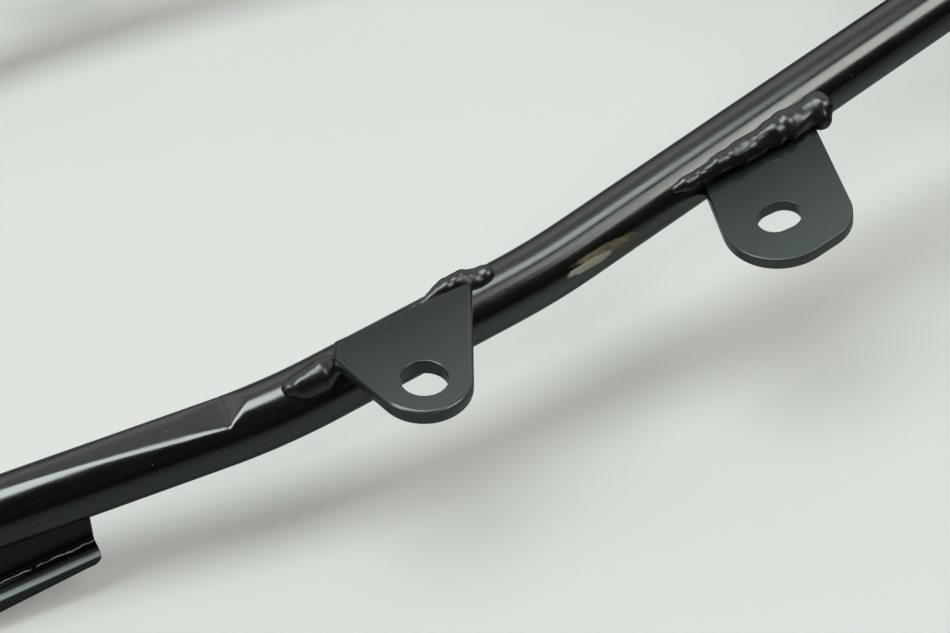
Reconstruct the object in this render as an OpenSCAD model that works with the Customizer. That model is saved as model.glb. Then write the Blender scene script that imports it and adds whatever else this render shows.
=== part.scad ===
// Rear subframe of a small motorcycle: a welded frame of bent steel tube.
// +X points forward to the main frame, +Y to the left side of the bike, +Z up.
// It stands on its tail hoop and its two lower bosses. Lengths are in millimetres.

/* [Tube] */
// Outer diameter of the rails and the tail hoop
tube_d = 19.1; // [18:0.1:22]
// Wall of the rails and the tail hoop
tube_wall = 1.6; // [1.2:0.1:2.4]
// Outer diameter of the struts and the front cross tube
strut_d = 15.9; // [14.5:0.1:17]
// Wall of the struts and both cross tubes
strut_wall = 1.6; // [1.2:0.1:2.4]
// Outer diameter of the lower cross tube
lower_cross_d = 12.7; // [10:0.1:13.5]

/* [Rails] */
// Distance between the rail centres along their middle run
rail_spread = 250; // [240:1:280]
// Height of the tube centre at the rear bend
rear_bend_h = 37.6; // [34:0.2:46]
// Lengthwise distance from the rear bend to the front bend
mid_len = 86; // [84:1:110]
// Slope of the middle run, in degrees
mid_rise = 8.2; // [5:0.1:10]
// Slope of the rear run down to the tail, in degrees
rear_drop = 6.5; // [5.8:0.1:8]
// Angle in plan by which the rear run closes in on the centreline
rear_yaw = 9.7; // [7:0.1:12]
// Lengthwise distance from the front bend to the upper bosses
front_len = 300; // [280:1:340]
// Slope of the front run, in degrees
front_rise = 11.1; // [9.5:0.1:13]
// Angle in plan by which the front run closes in on the centreline
front_yaw = 5.6; // [3:0.1:8]
// Centreline radius of the rear bend
rear_bend_r = 194; // [150:1:200]
// Centreline radius of the front bend
front_bend_r = 237; // [150:1:250]

/* [Pressed flat] */
// Depth of the flat at its sharp front end
flat_depth = 2.3; // [1:0.1:2.6]
// Length over which the flat fades out rearwards
flat_len = 60; // [45:1:80]
// Distance from the rear bend back to the sharp end of the flat
flat_back = 12; // [10:0.5:24]
// Slant of that sharp end across the tube, in degrees
flat_skew = 9; // [0:1:25]
// Lean of the flat to the outer side, in degrees
flat_lean = 0; // [0:1:15]

/* [Tail hoop] */
// Centreline radius of the bend where the rail levels out
knee_bend_r = 100; // [60:1:130]
// Lengthwise distance from that bend to the cross run of the hoop
hoop_leg = 48; // [46:1:70]
// Centreline radius of the hoop's corners
hoop_bend_r = 38; // [32:1:40]

/* [Front mounts] */
// Outer diameter of the upper and lower bosses
boss_d = 25; // [24:0.5:30]
// Length of the upper and lower bosses
boss_len = 28; // [26:1:40]
// Bore of the upper and lower bosses
boss_bore = 10.5; // [8.5:0.1:12.5]
// Lengthwise distance from the upper bosses back to the top of the struts
strut_back = 95; // [86:1:100]
// Lengthwise distance from the upper bosses back to the lower bosses
lower_back = 8; // [0:1:14]
// Lengthwise distance from the upper bosses back to the front cross tube
cross_back = 48; // [40:1:54]
// Place of the lower cross tube down the strut, as a share of its length
lower_cross_at = 0.62; // [0.5:0.01:0.7]
// Thickness of the gussets between rails and struts
gusset_t = 3; // [2:0.5:4]
// Length of the gusset along the rail and along the strut
gusset_len = 56; // [50:1:62]
// Radius of the notch that keeps the gusset clear of the bead in its corner
gusset_notch = 5; // [4:0.5:7]

/* [Tabs] */
// Thickness of the two rear tabs
rear_tab_t = 4.8; // [4:0.1:5.2]
// Thickness of the two front tabs
front_tab_t = 4; // [3:0.1:5]
// Distance from the rear bend to the rear corner of the rear tab
rear_tab_at = 15.7; // [15:0.1:18]
// Length of the rear tab along the tube
rear_tab_base = 48; // [45:0.2:50]
// Distance from the rear corner to the hole of the rear tab, along the tube
rear_tab_hole_at = 16.8; // [15:0.2:20]
// Distance from the tube centre out to the hole of the rear tab
rear_tab_reach = 27.2; // [24:0.2:34]
// Radius of the rear tab's nose round its hole
rear_tab_nose_r = 13.1; // [11:0.1:15]
// Hole of the rear tab
rear_tab_hole_d = 12.8; // [8:0.1:14]
// Height of the level rear tab's top face over the tube at the tab's front end
rear_tab_over = 1.6; // [1:0.1:3]
// Distance from the front bend to the rear corner of the front tab
front_tab_at = 56.3; // [50:0.5:60]
// Length of the front tab along the tube
front_tab_base = 41.1; // [38:0.2:48]
// Distance from the front bend to the slot of the front tab
front_tab_slot_at = 61.3; // [59:0.2:65]
// Distance from the tube centre out to the slot of the front tab
front_tab_reach = 33.2; // [30:0.2:40]
// Radius of the front tab's rear corner, round the slot
front_tab_rear_r = 16.6; // [14:0.1:18]
// Radius of the front tab's front corner
front_tab_front_r = 12.3; // [8:0.1:14]
// Distance between the two corner centres along the tube
front_tab_corner_gap = 7.2; // [5:0.2:12]
// How much further out the front corner's centre lies
front_tab_corner_out = 4.6; // [3:0.2:7]
// Length of the slot of the front tab
slot_len = 13.1; // [12:0.1:16]
// Width of the slot of the front tab
slot_w = 10.6; // [8:0.1:11]
// Angle of the slot to the tube, in degrees
slot_turn = 12; // [0:1:20]

/* [Hook brackets] */
// Thickness of the bent hook brackets under the rails
hook_t = 2.6; // [2:0.1:4]
// Distance from the rear bend back to the bracket's front end
hook_back = 57; // [52:1:62]
// Length of the bracket
hook_len = 44; // [36:1:46]
// Depth of the lip's top below the tube centre
hook_drop = 18; // [16:0.5:19]
// Width of the lip outwards from the web
hook_lip = 6; // [5:0.5:9]
// Height of the turned-down edge at the bracket's rear end
hook_edge = 5.4; // [4:0.2:7]
// Angle in plan between the bracket and the rail
hook_yaw = 6; // [0:0.5:8]
// Distance of the web outwards from the tube centre at the front end
hook_web_out = 2.4; // [0:0.2:4]

/* [Latch plate] */
// Thickness of the latch plate and its turned-down edges
latch_t = 2.5; // [2:0.1:4]
// Lengthwise distance from the knee bend to the middle of the plate
latch_from = 66; // [60:1:90]
// Length of the plate along the bike
latch_len = 50; // [44:1:60]
// Depth of the turned-down edges
latch_edge = 8.5; // [6:0.5:9]
// Width of the latch opening
latch_hole_w = 30; // [20:1:40]
// Length of the latch opening
latch_hole_len = 18; // [12:1:22]
// Distance between the two nut holes
nut_gap = 70; // [60:1:90]
// Thread hole of the weld nuts
nut_hole = 5; // [4:0.1:6]
// Width of the weld nuts across their flats
nut_flats = 10; // [9:0.5:13]
// Height of the weld nuts
nut_h = 5; // [4:0.5:7]
// Clear holes in the plate above the nuts
nut_clear = 6.6; // [6.2:0.1:8]

/* [Seat hook and light bracket] */
// Thickness of the seat hook and the light bracket
strap_t = 3; // [2:0.1:4]
// Width of the seat hook across the bike
hook_plate_w = 40; // [30:1:60]
// Clear height under the seat hook
seat_gap = 8; // [6:0.5:12]
// Reach of the seat hook behind the front cross tube
seat_reach = 24; // [18:1:34]
// Width of the light bracket across the bike
light_w = 64; // [50:1:70]
// Height of the light bracket above the tube centre
light_h = 42; // [34:1:60]
// Distance between the two holes of the light bracket
light_hole_gap = 40; // [30:1:44]
// Diameter of the two holes of the light bracket
light_hole = 6.5; // [5:0.1:8]
// Diameter of the cable hole of the light bracket
cable_hole = 14; // [8:0.5:16]
// Distance from the top of the light bracket down to its two holes
light_hole_down = 11; // [9:0.5:12]
// Radius of the light bracket's two upper corners
light_corner_r = 8; // [4:0.5:10]
// Backward lean of the light bracket, in degrees
light_lean = 8; // [0:1:10]

/* [Weld beads] */
// Width of the weld beads round the joints of the frame
bead_w = 2; // [1.4:0.1:2.4]
// Largest radius of the bead on the front tab
front_bead_r = 4; // [2.5:0.1:4.5]
// Largest radius of the beads on the rear tab
rear_bead_r = 3.4; // [2:0.1:4]

/* [Hidden] */
tube_r = tube_d / 2;
strut_r = strut_d / 2;
boss_r = boss_d / 2;
// Bends swell the tube by this much and lap the straight runs by bend_lap
bend_swell = 0.03;
bend_lap = 0.5;
// The rear tab's inner edge: how far out it lies at the rear, how far past the centre at the front
rear_tab_heel_out = 2;
rear_tab_past = 0.4;
// Snip of its rear corner, along the tube and across it
rear_tab_snip = [3.2, 6.4];
// Distance between the drops of the rear tab's and the front tab's beads
rear_pitch = 2.6;
front_pitch = 2.9;
// The front tab's bead starts this far behind the tab
front_bead_lead = 11;
// The seat hook beds this deep into the tube that carries it
strap_bed = 1;
// Angle underneath that the hoop's bead leaves out
joint_gap = 60;
// The hoop meets the rail this far behind the end of the knee bend
joint_past = 3;
// Spare length of every cutting solid past the surface it cuts
spare = 1;
paint = [0.09, 0.095, 0.1];
zinc = [0.72, 0.72, 0.7];

function unit(v) = v / norm(v);
function side_of(u) = unit(cross([0, 0, 1], u));
function rise_of(u) = cross(u, side_of(u));
function turn(a, p, b) = acos(min(1, unit(p - a) * unit(b - p)));
function setback(a, p, b, r) = r * tan(turn(a, p, b) / 2);
function mirror_y(p) = [p.x, -p.y, p.z];
function tan_in_plan(slope, yaw) = tan(slope) / cos(yaw);

// The right rail's bend points, from tail to front. The origin is midway along the whole frame.
rear_run = (rear_bend_h - tube_r) / tan_in_plan(rear_drop, rear_yaw);
behind = rear_run + hoop_leg + tube_r;
ahead = mid_len + front_len + boss_r;
rear_bend = [(behind - ahead) / 2, -rail_spread / 2, rear_bend_h];
front_bend = rear_bend + [mid_len, 0, mid_len * tan(mid_rise)];
knee = rear_bend + [-rear_run, rear_run * tan(rear_yaw), tube_r - rear_bend_h];
corner = knee + [-hoop_leg, hoop_leg * tan(rear_yaw), 0];
hoop_joint = knee + unit(corner - knee) * (setback(rear_bend, knee, corner, knee_bend_r) + joint_past);
front_dir = unit([1, tan(front_yaw), tan_in_plan(front_rise, front_yaw)]);
rear_dir = unit(rear_bend - knee);
mid_dir = unit(front_bend - rear_bend);
function on_front(x) = front_bend + front_dir * x / front_dir.x;
upper_boss_at = on_front(front_len);
strut_top = on_front(front_len - strut_back);
lower_boss_at = [upper_boss_at.x - lower_back, on_front(front_len - lower_back).y, boss_r];
cross_at = on_front(front_len - cross_back);
lower_cross_end = strut_top + (lower_boss_at - strut_top) * lower_cross_at;

// Stands a child that rises along Z on the line from a to b
module along(a, b) {
    v = b - a;
    translate(a) rotate([0, acos(v.z / norm(v)), atan2(v.y, v.x)]) children();
}

// Places a child with X along the run u, Y to its left and Z square to it, starting at a
module on_run(a, u) {
    s = side_of(u);
    z = rise_of(u);
    multmatrix([[u.x, s.x, z.x, a.x], [u.y, s.y, z.y, a.y], [u.z, s.z, z.z, a.z], [0, 0, 0, 1]])
        children();
}

// Each rod is turned a little, so that its seam stays clear of the seams of the bends
module rod(a, b, r) along(a, b) rotate(37) cylinder(h = norm(b - a), r = r, $fn = 64);

// A rod that runs on past both ends, to cut away what a round piece takes
module long_rod(a, b, r, over) {
    u = unit(b - a);
    rod(a - u * over, b + u * over, r);
}

// One bend of a tube, from the straight run a-p into the straight run p-b
module elbow(a, p, b, bend_r, r) {
    u = unit(p - a);
    v = unit(b - p);
    t = turn(a, p, b);
    k = unit(cross(u, v));
    c = p + bend_r / cos(t / 2) * unit(v - u);
    e = unit(p - u * setback(a, p, b, bend_r) - c);
    lap = bend_lap / bend_r * 180 / PI;
    multmatrix([[e.x, u.x, k.x, c.x], [e.y, u.y, k.y, c.y], [e.z, u.z, k.z, c.z], [0, 0, 0, 1]])
        rotate([0, 0, -lap]) rotate_extrude(angle = t + 2 * lap, $fn = 200)
            translate([bend_r, 0]) circle(r = r + bend_swell, $fn = 64);
}

// A solid round bar along the points, with bends of the given radii at the inner ones
module bar(pts, bends, r, over = 0) {
    last = len(pts) - 1;
    cut = [for (i = [0 : last])
        i == 0 || i == last ? -over : setback(pts[i - 1], pts[i], pts[i + 1], bends[i])];
    for (i = [0 : last - 1]) {
        u = unit(pts[i + 1] - pts[i]);
        rod(pts[i] + u * cut[i], pts[i + 1] - u * cut[i + 1], r);
    }
    for (i = [1 : 1 : last - 1]) elbow(pts[i - 1], pts[i], pts[i + 1], bends[i], r);
}

module tube(pts, bends, d, wall) {
    difference() {
        bar(pts, bends, d / 2);
        bar(pts, bends, d / 2 - wall, spare);
    }
}

// A fillet collar where the tube a-b meets the tube c-d
module collar(a, b, ra, c, d, rc) {
    difference() {
        intersection() {
            rod(a, b, ra + bead_w);
            long_rod(c, d, rc + bead_w, 0);
        }
        long_rod(a, b, ra, spare);
        long_rod(c, d, rc, spare);
    }
}

rail_pts = [hoop_joint, knee, rear_bend, front_bend, upper_boss_at];
rail_bends = [0, knee_bend_r, rear_bend_r, front_bend_r, 0];

// The rolled flat on the upper outer side of the rail, sunk into the tube by "sink" more
module pressed_flat(sink) {
    slope = atan(flat_depth / flat_len);
    on_run(rear_bend - rear_dir * (flat_back + sink), rear_dir)
        rotate([flat_lean, 0, 0])
            translate([0, 0, tube_r - flat_depth - sink])
                rotate([0, slope, flat_skew])
                    translate([-flat_len * 1.6, -tube_d, 0]) cube([flat_len * 1.6, 2 * tube_d, tube_r]);
}

module rail() {
    difference() {
        bar(rail_pts, rail_bends, tube_r);
        pressed_flat(0);
        difference() {
            bar(rail_pts, rail_bends, tube_r - tube_wall, spare);
            pressed_flat(tube_wall);
        }
        boss_space(upper_boss_at);
    }
}

module boss_space(p) {
    w = [0, boss_len / 2 + spare, 0];
    rod(p - w, p + w, boss_r);
}

module boss(p) {
    w = [0, boss_len / 2, 0];
    difference() {
        rod(p - w, p + w, boss_r);
        long_rod(p - w, p + w, boss_bore / 2, spare);
    }
}

module hoop() {
    pts = [hoop_joint, corner, mirror_y(corner), mirror_y(hoop_joint)];
    tube(pts, [0, hoop_bend_r, hoop_bend_r, 0], tube_d, tube_wall);
}

module front_run(r) long_rod(front_bend, upper_boss_at, r, 0);

module strut() {
    difference() {
        rod(strut_top, lower_boss_at, strut_r);
        long_rod(strut_top, lower_boss_at, strut_r - strut_wall, spare);
        front_run(tube_r);
        boss_space(lower_boss_at);
    }
}

// A tube straight across the bike from p to its mirror point, coped to what the children cut
module cross_tube(p, d, wall) {
    difference() {
        rod(p, mirror_y(p), d / 2);
        long_rod(p, mirror_y(p), d / 2 - wall, spare);
        children();
        mirror([0, 1, 0]) children();
    }
}

// Triangular gusset with a hollowed front edge, in the plane of the rail and its strut
module gusset() {
    drop = unit(lower_boss_at - strut_top);
    across = unit(cross(front_dir, drop));
    down = cross(across, front_dir);
    fall = acos(front_dir * drop);
    a = [gusset_len, 0];
    b = gusset_len * [cos(fall), sin(fall)];
    m = [front_dir, down, across];
    nook = [(tube_r * cos(fall) + strut_r) / sin(fall), tube_r];
    difference() {
        multmatrix([[m[0].x, m[1].x, m[2].x, strut_top.x], [m[0].y, m[1].y, m[2].y, strut_top.y],
                [m[0].z, m[1].z, m[2].z, strut_top.z], [0, 0, 0, 1]])
            translate([0, 0, -gusset_t / 2]) linear_extrude(gusset_t) difference() {
                polygon([[0, 0], a, b]);
                translate((a + b) * 0.72) circle(r = norm(a - b) * 0.46, $fn = 64);
                translate(nook) circle(r = gusset_notch, $fn = 48);
            }
        front_run(tube_r);
        long_rod(strut_top, lower_boss_at, strut_r, spare);
    }
}

// The gap between the level rear tab and the rising tube, which closes towards the toe
function rear_gap(x) =
    max(0, (rear_tab_at + rear_tab_base - x) * tan(mid_rise) + rear_tab_over - rear_tab_t);

// Places a child with X along the rail from the rear bend and Y outboard, level, its foot at the
// underside of the rear tab
module at_rear_tab() {
    toe = rear_tab_at + rear_tab_base;
    top = toe * tan(mid_rise) + tube_r / cos(mid_rise) + rear_tab_over;
    translate(rear_bend + [0, 0, top - rear_tab_t]) mirror([0, 1, 0]) children();
}

// Outline of the rear tab: an inner edge over the tube, a snipped rear corner, a nose round the hole
module rear_tab_outline() {
    hull() {
        polygon([[rear_tab_at + rear_tab_snip.x, rear_tab_heel_out],
            [rear_tab_at, rear_tab_heel_out + rear_tab_snip.y],
            [rear_tab_at + rear_tab_base, -rear_tab_past]]);
        translate([rear_tab_at + rear_tab_hole_at, rear_tab_reach]) circle(r = rear_tab_nose_r, $fn = 96);
    }
}

module rear_tab() {
    difference() {
        at_rear_tab() linear_extrude(rear_tab_t) difference() {
            rear_tab_outline();
            translate([rear_tab_at + rear_tab_hole_at, rear_tab_reach])
                circle(d = rear_tab_hole_d, $fn = 64);
        }
        long_rod(rear_bend, front_bend, tube_r, 0);
    }
}

// Outline of the front tab: two unlike round corners over a base on the tube
module front_tab_outline() {
    big = [front_tab_slot_at, front_tab_reach];
    small = big + [front_tab_corner_gap, front_tab_corner_out];
    hull() {
        polygon([[front_tab_at, tube_r / 2], [front_tab_at + front_tab_base, tube_r / 2], big]);
        translate(big) circle(r = front_tab_rear_r, $fn = 96);
        translate(small) circle(r = front_tab_front_r, $fn = 96);
    }
}

module slot_outline() {
    half = (slot_len - slot_w) / 2;
    for (x = [-half, half]) translate([x, 0]) circle(d = slot_w, $fn = 64);
    square([2 * half, slot_w], center = true);
}

module front_tab() {
    difference() {
        on_run(front_bend, front_dir)
            translate([0, 0, -front_tab_t / 2]) mirror([0, 1, 0]) linear_extrude(front_tab_t) difference() {
                front_tab_outline();
                translate([front_tab_slot_at, front_tab_reach]) rotate(slot_turn) slot_outline();
            }
        front_run(tube_r);
    }
}

// Section of the hook bracket in Y and Z: web, round fold, lip and turned-down outer edge
module hook_section(edge) {
    out = hook_lip + hook_t;
    fold = hook_t * 1.2;
    difference() {
        union() {
            translate([-out, -hook_drop - hook_t]) square([out - fold, hook_t]);
            translate([-hook_t, -hook_drop - hook_t + fold]) square([hook_t, hook_drop + hook_t - fold]);
            translate([-fold, -hook_drop - hook_t + fold]) circle(r = fold, $fn = 32);
            translate([-out, -hook_drop - edge]) square([hook_t, edge]);
        }
    }
}

module hook_bracket() {
    start = rear_bend - rear_dir * hook_back;
    difference() {
        on_run(start, rear_dir)
            rotate([0, 0, hook_yaw]) translate([-hook_len, -hook_web_out, 0])
                rotate([90, 0, 90]) linear_extrude(hook_len) hook_section(hook_edge);
        rail_rear_run(tube_r);
        // The turned-down edge grows from the plain lip at the front end to its full height
        on_run(start, rear_dir)
            rotate([0, 0, hook_yaw])
                translate([0, 0, -hook_drop - hook_t])
                    rotate([0, -atan((hook_edge - hook_t) / hook_len), 0])
                        translate([-hook_len * 2, -hook_lip * 3, -hook_edge * 2])
                            cube([hook_len * 3, hook_lip * 6, hook_edge * 2]);
    }
}

module rail_rear_run(r) long_rod(knee, rear_bend, r, 0);

latch_slope = atan(tan_in_plan(rear_drop, rear_yaw));
module at_latch() {
    translate([knee.x + latch_from, 0, tube_r + latch_from * tan_in_plan(rear_drop, rear_yaw)])
        rotate([0, -latch_slope, 0]) children();
}

// Half the distance between the rails' centres, x ahead of the middle of the latch plate
function latch_half(x) = -knee.y + (latch_from + x) * tan(rear_yaw);

// The part of the latch plate between x0 and x1, out to the rails' centres
module latch_strip(x0, x1, depth) {
    translate([0, 0, -depth]) linear_extrude(depth) polygon([[x0, latch_half(x0)], [x1, latch_half(x1)],
        [x1, -latch_half(x1)], [x0, -latch_half(x0)]]);
}

module latch_sheet() {
    half = latch_len / 2;
    difference() {
        at_latch() difference() {
            union() {
                latch_strip(-half, half, latch_t);
                latch_strip(-half, latch_t - half, latch_edge);
                latch_strip(half - latch_t, half, latch_edge);
            }
            translate([0, 0, -latch_t - spare]) linear_extrude(latch_t + 2 * spare) {
                square([latch_hole_len, latch_hole_w - latch_hole_len], center = true);
                for (y = [-1, 1]) translate([0, y * (latch_hole_w - latch_hole_len) / 2])
                    circle(d = latch_hole_len, $fn = 64);
                for (y = [-1, 1]) translate([0, y * nut_gap / 2]) circle(d = nut_clear, $fn = 48);
            }
        }
        rail_rear_run(tube_r);
        mirror([0, 1, 0]) rail_rear_run(tube_r);
    }
}

module latch_nuts() {
    at_latch() for (y = [-1, 1]) translate([0, y * nut_gap / 2, -latch_t - nut_h]) difference() {
        cylinder(h = nut_h, d = nut_flats / cos(30), $fn = 6);
        translate([0, 0, -spare]) cylinder(h = nut_h + 2 * spare, d = nut_hole, $fn = 48);
    }
}

// Bent strap on the front cross tube that holds down the seat's tongue
module seat_strap() {
    low = strut_r - strap_bed;
    high = low + seat_gap;
    difference() {
        translate([cross_at.x, 0, cross_at.z]) rotate([90, 0, 0])
            translate([0, 0, -hook_plate_w / 2]) linear_extrude(hook_plate_w)
                polygon([[strut_r, low], [strut_r, low + strap_t], [0, low + strap_t], [0, high + strap_t],
                    [-seat_reach, high + strap_t], [-seat_reach, high], [-strap_t, high], [-strap_t, low]]);
        rod(cross_at, mirror_y(cross_at), strut_r);
    }
}

module light_plate() {
    plate_r = light_corner_r;
    difference() {
        translate([corner.x, 0, tube_r]) rotate([0, -light_lean, 0])
            rotate([90, 0, 90]) translate([0, 0, -strap_t / 2]) linear_extrude(strap_t) difference() {
                union() {
                    translate([-light_w / 2, 0]) square([light_w, light_h - plate_r]);
                    translate([plate_r - light_w / 2, 0]) square([light_w - 2 * plate_r, light_h]);
                    for (x = [-1, 1]) translate([x * (light_w / 2 - plate_r), light_h - plate_r])
                        circle(r = plate_r, $fn = 48);
                }
                for (x = [-1, 1]) translate([x * light_hole_gap / 2, light_h - light_hole_down])
                    circle(d = light_hole, $fn = 48);
                translate([0, light_h - light_hole_down - cable_hole * 0.64]) circle(d = cable_hole, $fn = 48);
            }
        long_rod(corner, mirror_y(corner), tube_r, 0);
    }
}

// A lumpy bead: round drops set along the run, each with its own place and radius
module drops(a, u, list) {
    on_run(a, u) for (p = list) translate([p[0], -p[1], p[2]]) sphere(r = p[3], $fn = 24);
}

// The fat bead on top of the front tab's inner edge: thin at its rear end, full at its front end
module front_tab_bead() {
    count = round((front_tab_base + front_bead_lead) / front_pitch);
    list = [for (i = [0 : count]) let (k = i / count)
        [front_tab_at - front_bead_lead + i * front_pitch, tube_r * (0.74 + 0.38 * k),
            tube_r * (0.47 + 0.19 * pow(1 - k, 3)),
            front_bead_r * min(1, 0.45 + 1.0 * k + 0.05 * sin(i * 137))]];
    end_drop = [front_tab_at + front_tab_base - 2, tube_r * 1.45, front_tab_t / 2 + front_bead_r * 0.3,
        front_bead_r * 0.85];
    difference() {
        drops(front_bend, front_dir, concat(list, [end_drop]));
        front_run(tube_r);
        on_run(front_bend, front_dir) translate([front_tab_at - tube_d, -rail_spread, -front_tab_t / 2])
            cube([front_tab_base + 2 * tube_d, rail_spread, front_tab_t]);
    }
}

// The beads round the rear tab: a heel that fills the gap under its rear end, a toe, and a run along
// its inner edge
module rear_tab_beads() {
    toe = rear_tab_at + rear_tab_base;
    heel_list = [for (i = [0 : 5]) let (x = rear_tab_at - 11 + i * rear_pitch)
        [x, 1.6 + 0.6 * i, tube_r + rear_gap(rear_tab_at) * 0.12 * i - 0.3, rear_bead_r * (0.62 + 0.08 * i)]];
    toe_list = [for (i = [0 : 3])
        [toe + i * rear_pitch, 3 - 0.6 * i, tube_r + 0.3 - 0.1 * i, rear_bead_r * (1.15 - 0.07 * i)]];
    edge_from = rear_tab_at + 3 * rear_pitch;
    edge_count = round((toe - edge_from) / rear_pitch);
    edge_list = [for (i = [0 : edge_count]) let (x = edge_from + i * rear_pitch, k = i / edge_count)
        [x, rear_tab_heel_out * (1 - k) - rear_tab_past * k - rear_bead_r * 0.4,
            tube_r + 0.4 + rear_gap(x) / 2, rear_bead_r * (0.62 + 0.04 * sin(i * 137)) + rear_gap(x) / 5]];
    difference() {
        drops(rear_bend, mid_dir, concat(heel_list, edge_list, toe_list));
        bar(rail_pts, rail_bends, tube_r);
        at_rear_tab() linear_extrude(rear_tab_t) rear_tab_outline();
    }
}

module frame_beads() {
    boss_w = [0, boss_len / 2, 0];
    near = bead_w * 2 + boss_r;
    collar(upper_boss_at - front_dir * near * 1.2, upper_boss_at, tube_r,
        upper_boss_at - boss_w, upper_boss_at + boss_w, boss_r);
    drop = unit(lower_boss_at - strut_top);
    collar(lower_boss_at - drop * near * 1.2, lower_boss_at, strut_r,
        lower_boss_at - boss_w, lower_boss_at + boss_w, boss_r);
    collar(strut_top + drop * tube_r / 2, strut_top + drop * 2 * tube_d, strut_r,
        strut_top - front_dir * 2 * tube_d, strut_top + front_dir * 2 * tube_d, tube_r);
    in = [0, tube_d, 0];
    collar(cross_at + in * 0.2, cross_at + in, strut_r,
        cross_at - front_dir * tube_d, cross_at + front_dir * tube_d, tube_r);
    collar(lower_cross_end + in * 0.2, lower_cross_end + in, lower_cross_d / 2,
        lower_cross_end - drop * strut_d, lower_cross_end + drop * strut_d, strut_r);
    // The bead round the joint of hoop and rail is left out underneath, where the hoop stands
    along(hoop_joint, hoop_joint + unit(corner - knee)) rotate(joint_gap / 2)
        rotate_extrude(angle = 360 - joint_gap, $fn = 96) translate([tube_r, 0]) intersection() {
            circle(r = bead_w / 2, $fn = 32);
            translate([0, -bead_w]) square(2 * bead_w);
        }
}

module right_rail() color(paint) rail();
module left_rail() color(paint) mirror([0, 1, 0]) rail();
module tail_hoop() color(paint) hoop();
module front_cross_tube() color(paint) cross_tube(cross_at, strut_d, strut_wall) front_run(tube_r);
module lower_cross_tube() color(paint) cross_tube(lower_cross_end, lower_cross_d, strut_wall)
    long_rod(strut_top, lower_boss_at, strut_r, spare);
module right_strut() color(paint) strut();
module left_strut() color(paint) mirror([0, 1, 0]) strut();
module right_upper_boss() color(paint) boss(upper_boss_at);
module left_upper_boss() color(paint) mirror([0, 1, 0]) boss(upper_boss_at);
module right_lower_boss() color(paint) boss(lower_boss_at);
module left_lower_boss() color(paint) mirror([0, 1, 0]) boss(lower_boss_at);
module right_strut_gusset() color(paint) gusset();
module left_strut_gusset() color(paint) mirror([0, 1, 0]) gusset();
module right_rear_tab() color(paint) rear_tab();
module left_rear_tab() color(paint) mirror([0, 1, 0]) rear_tab();
module right_front_tab() color(paint) front_tab();
module left_front_tab() color(paint) mirror([0, 1, 0]) front_tab();
module right_hook_bracket() color(paint) hook_bracket();
module left_hook_bracket() color(paint) mirror([0, 1, 0]) hook_bracket();
module latch_plate() color(paint) latch_sheet();
module latch_plate_nuts() color(zinc) latch_nuts();
module seat_hook() color(paint) seat_strap();
module light_bracket() color(paint) light_plate();
module right_rear_tab_welds() color(paint) rear_tab_beads();
module left_rear_tab_welds() color(paint) mirror([0, 1, 0]) rear_tab_beads();
module right_front_tab_weld() color(paint) front_tab_bead();
module left_front_tab_weld() color(paint) mirror([0, 1, 0]) front_tab_bead();
module right_frame_welds() color(paint) frame_beads();
module left_frame_welds() color(paint) mirror([0, 1, 0]) frame_beads();

right_rail();
left_rail();
tail_hoop();
front_cross_tube();
lower_cross_tube();
right_strut();
left_strut();
right_upper_boss();
left_upper_boss();
right_lower_boss();
left_lower_boss();
right_strut_gusset();
left_strut_gusset();
right_rear_tab();
left_rear_tab();
right_front_tab();
left_front_tab();
right_hook_bracket();
left_hook_bracket();
latch_plate();
latch_plate_nuts();
seat_hook();
light_bracket();
right_rear_tab_welds();
left_rear_tab_welds();
right_front_tab_weld();
left_front_tab_weld();
right_frame_welds();
left_frame_welds();
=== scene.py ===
import bpy, bmesh, math
import numpy as np
from mathutils import Matrix, Vector, geometry


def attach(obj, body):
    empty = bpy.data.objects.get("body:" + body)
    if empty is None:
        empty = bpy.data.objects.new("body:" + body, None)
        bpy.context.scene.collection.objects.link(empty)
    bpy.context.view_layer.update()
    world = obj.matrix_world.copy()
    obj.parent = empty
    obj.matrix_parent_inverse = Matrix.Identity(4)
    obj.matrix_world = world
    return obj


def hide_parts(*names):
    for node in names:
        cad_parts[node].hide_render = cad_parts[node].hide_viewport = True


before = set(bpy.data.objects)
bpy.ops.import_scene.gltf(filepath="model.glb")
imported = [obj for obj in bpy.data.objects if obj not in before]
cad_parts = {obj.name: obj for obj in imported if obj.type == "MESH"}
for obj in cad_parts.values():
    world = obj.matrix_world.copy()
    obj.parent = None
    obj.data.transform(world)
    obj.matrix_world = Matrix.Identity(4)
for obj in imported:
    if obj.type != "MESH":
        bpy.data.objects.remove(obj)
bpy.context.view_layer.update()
scene = bpy.context.scene
scene.view_settings.view_transform = "Standard"

# Camera: it looks down at the right rail from the right rear, from as close as the photograph
camera = bpy.data.objects.new("camera", bpy.data.cameras.new("camera"))
scene.collection.objects.link(camera)
camera.data.sensor_width, camera.data.lens = 36.0, 77.84
camera.data.clip_start, camera.data.clip_end = 0.01, 60
camera.location = (-0.20499, -0.49235, 0.4378)
looks_down, turned = 42.63, 30.94
camera.rotation_euler = (math.radians(90 - looks_down), 0, math.radians(-turned))
scene.camera = camera

# Floor: a pale painted board, faintly blotched. The camera sees it pale; what it sends up to the paint is
# dimmer, and dimmer still away from the front bend, as the enamel shows it in the photograph: painted shade
# in the board's reflection on the enamel.

# Sets a node's knobs; an underscore stands for the space in a knob's name
def dial(node, **knobs):
    for knob, value in knobs.items():
        node.inputs[knob.replace("_", " ")].default_value = value


# Runs wires between the nodes of one tree: from whose outlet, to whose inlet
def wire(links, *runs):
    for giver, outlet, taker, inlet in runs:
        links.new(giver.outputs[outlet], taker.inputs[inlet])


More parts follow.
